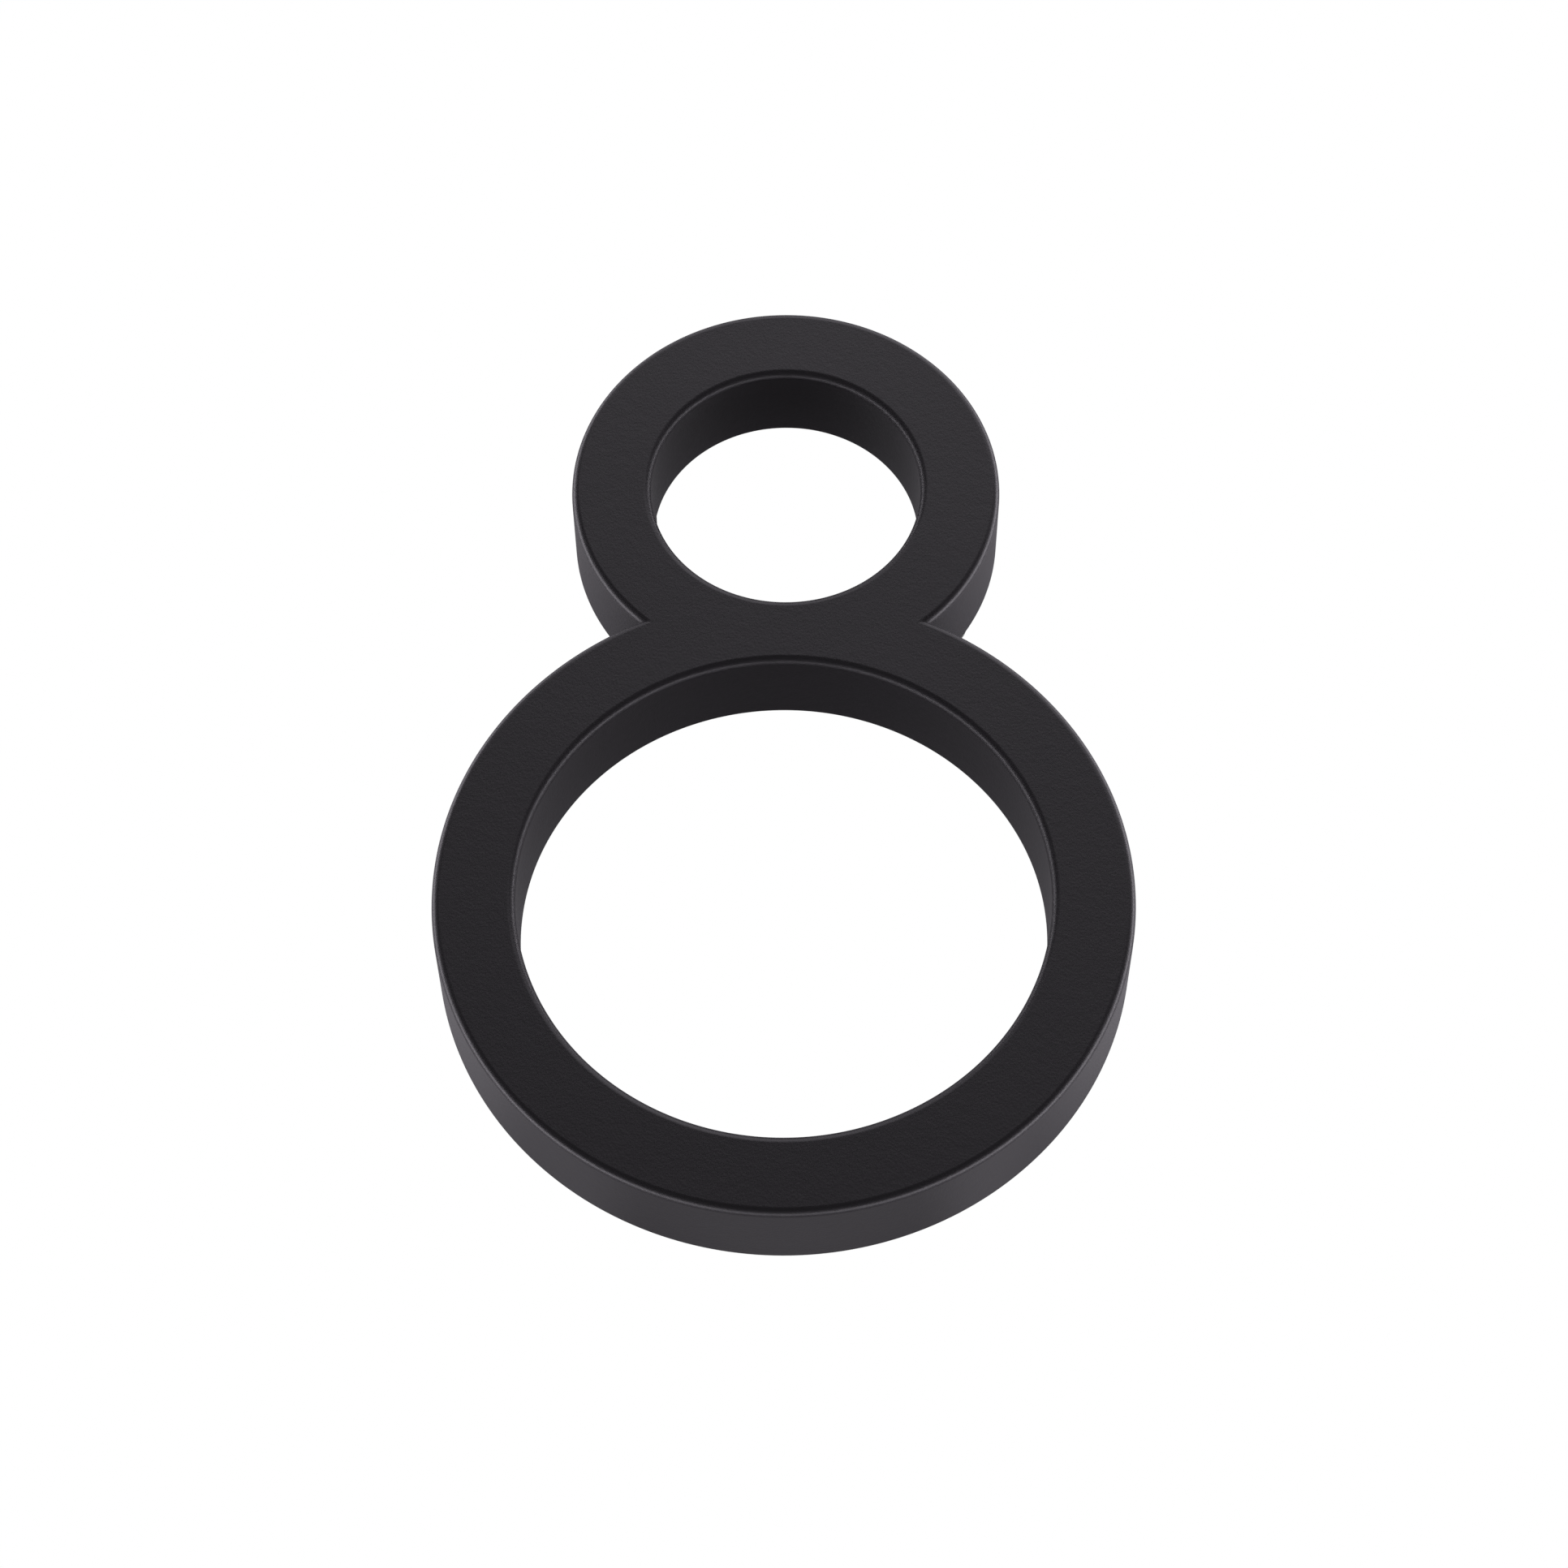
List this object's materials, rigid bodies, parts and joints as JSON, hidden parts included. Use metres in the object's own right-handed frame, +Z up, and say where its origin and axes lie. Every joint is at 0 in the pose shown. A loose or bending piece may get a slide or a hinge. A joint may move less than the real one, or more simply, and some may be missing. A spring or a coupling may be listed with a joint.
{
  "type": "house number",
  "caption": "Digit eight of round rings joined at a waist: a thick slab standing off a wall on threaded studs, spacer sleeves and plugs.",
  "frame": {"origin": "on the wall's surface, behind the middle of the digit's height and width", "axes": "+Z up to the digit's top, +X to the right of somebody reading it, +Y into the wall; the digit's face looks along -Y"},
  "size_m": [0.084, 0.049, 0.127],
  "materials": {
    "powder_coat": "fine matt black powder coat on a zinc die casting",
    "zinc_steel": "zinc-plated steel, rolled thread",
    "black_nylon": "moulded black nylon",
    "grey_nylon": "moulded grey nylon"
  },
  "bodies": {
    "wall_fixings": {"wall_plug_upper_left": "grey_nylon", "wall_plug_upper_right": "grey_nylon", "wall_plug_lower_left": "grey_nylon", "wall_plug_lower_right": "grey_nylon"},
    "number": {"digit_casting": "powder_coat", "stud_upper_left": "zinc_steel", "stud_upper_right": "zinc_steel", "stud_lower_left": "zinc_steel", "stud_lower_right": "zinc_steel", "spacer_upper_left": "black_nylon", "spacer_upper_right": "black_nylon", "spacer_lower_left": "black_nylon", "spacer_lower_right": "black_nylon"}
  },
  "joints": [
    {"name": "number_pull_off", "type": "slide", "parent": "wall_fixings", "child": "number", "axis": [0, -1, 0], "range_m": [0, 0.022]}
  ]
}
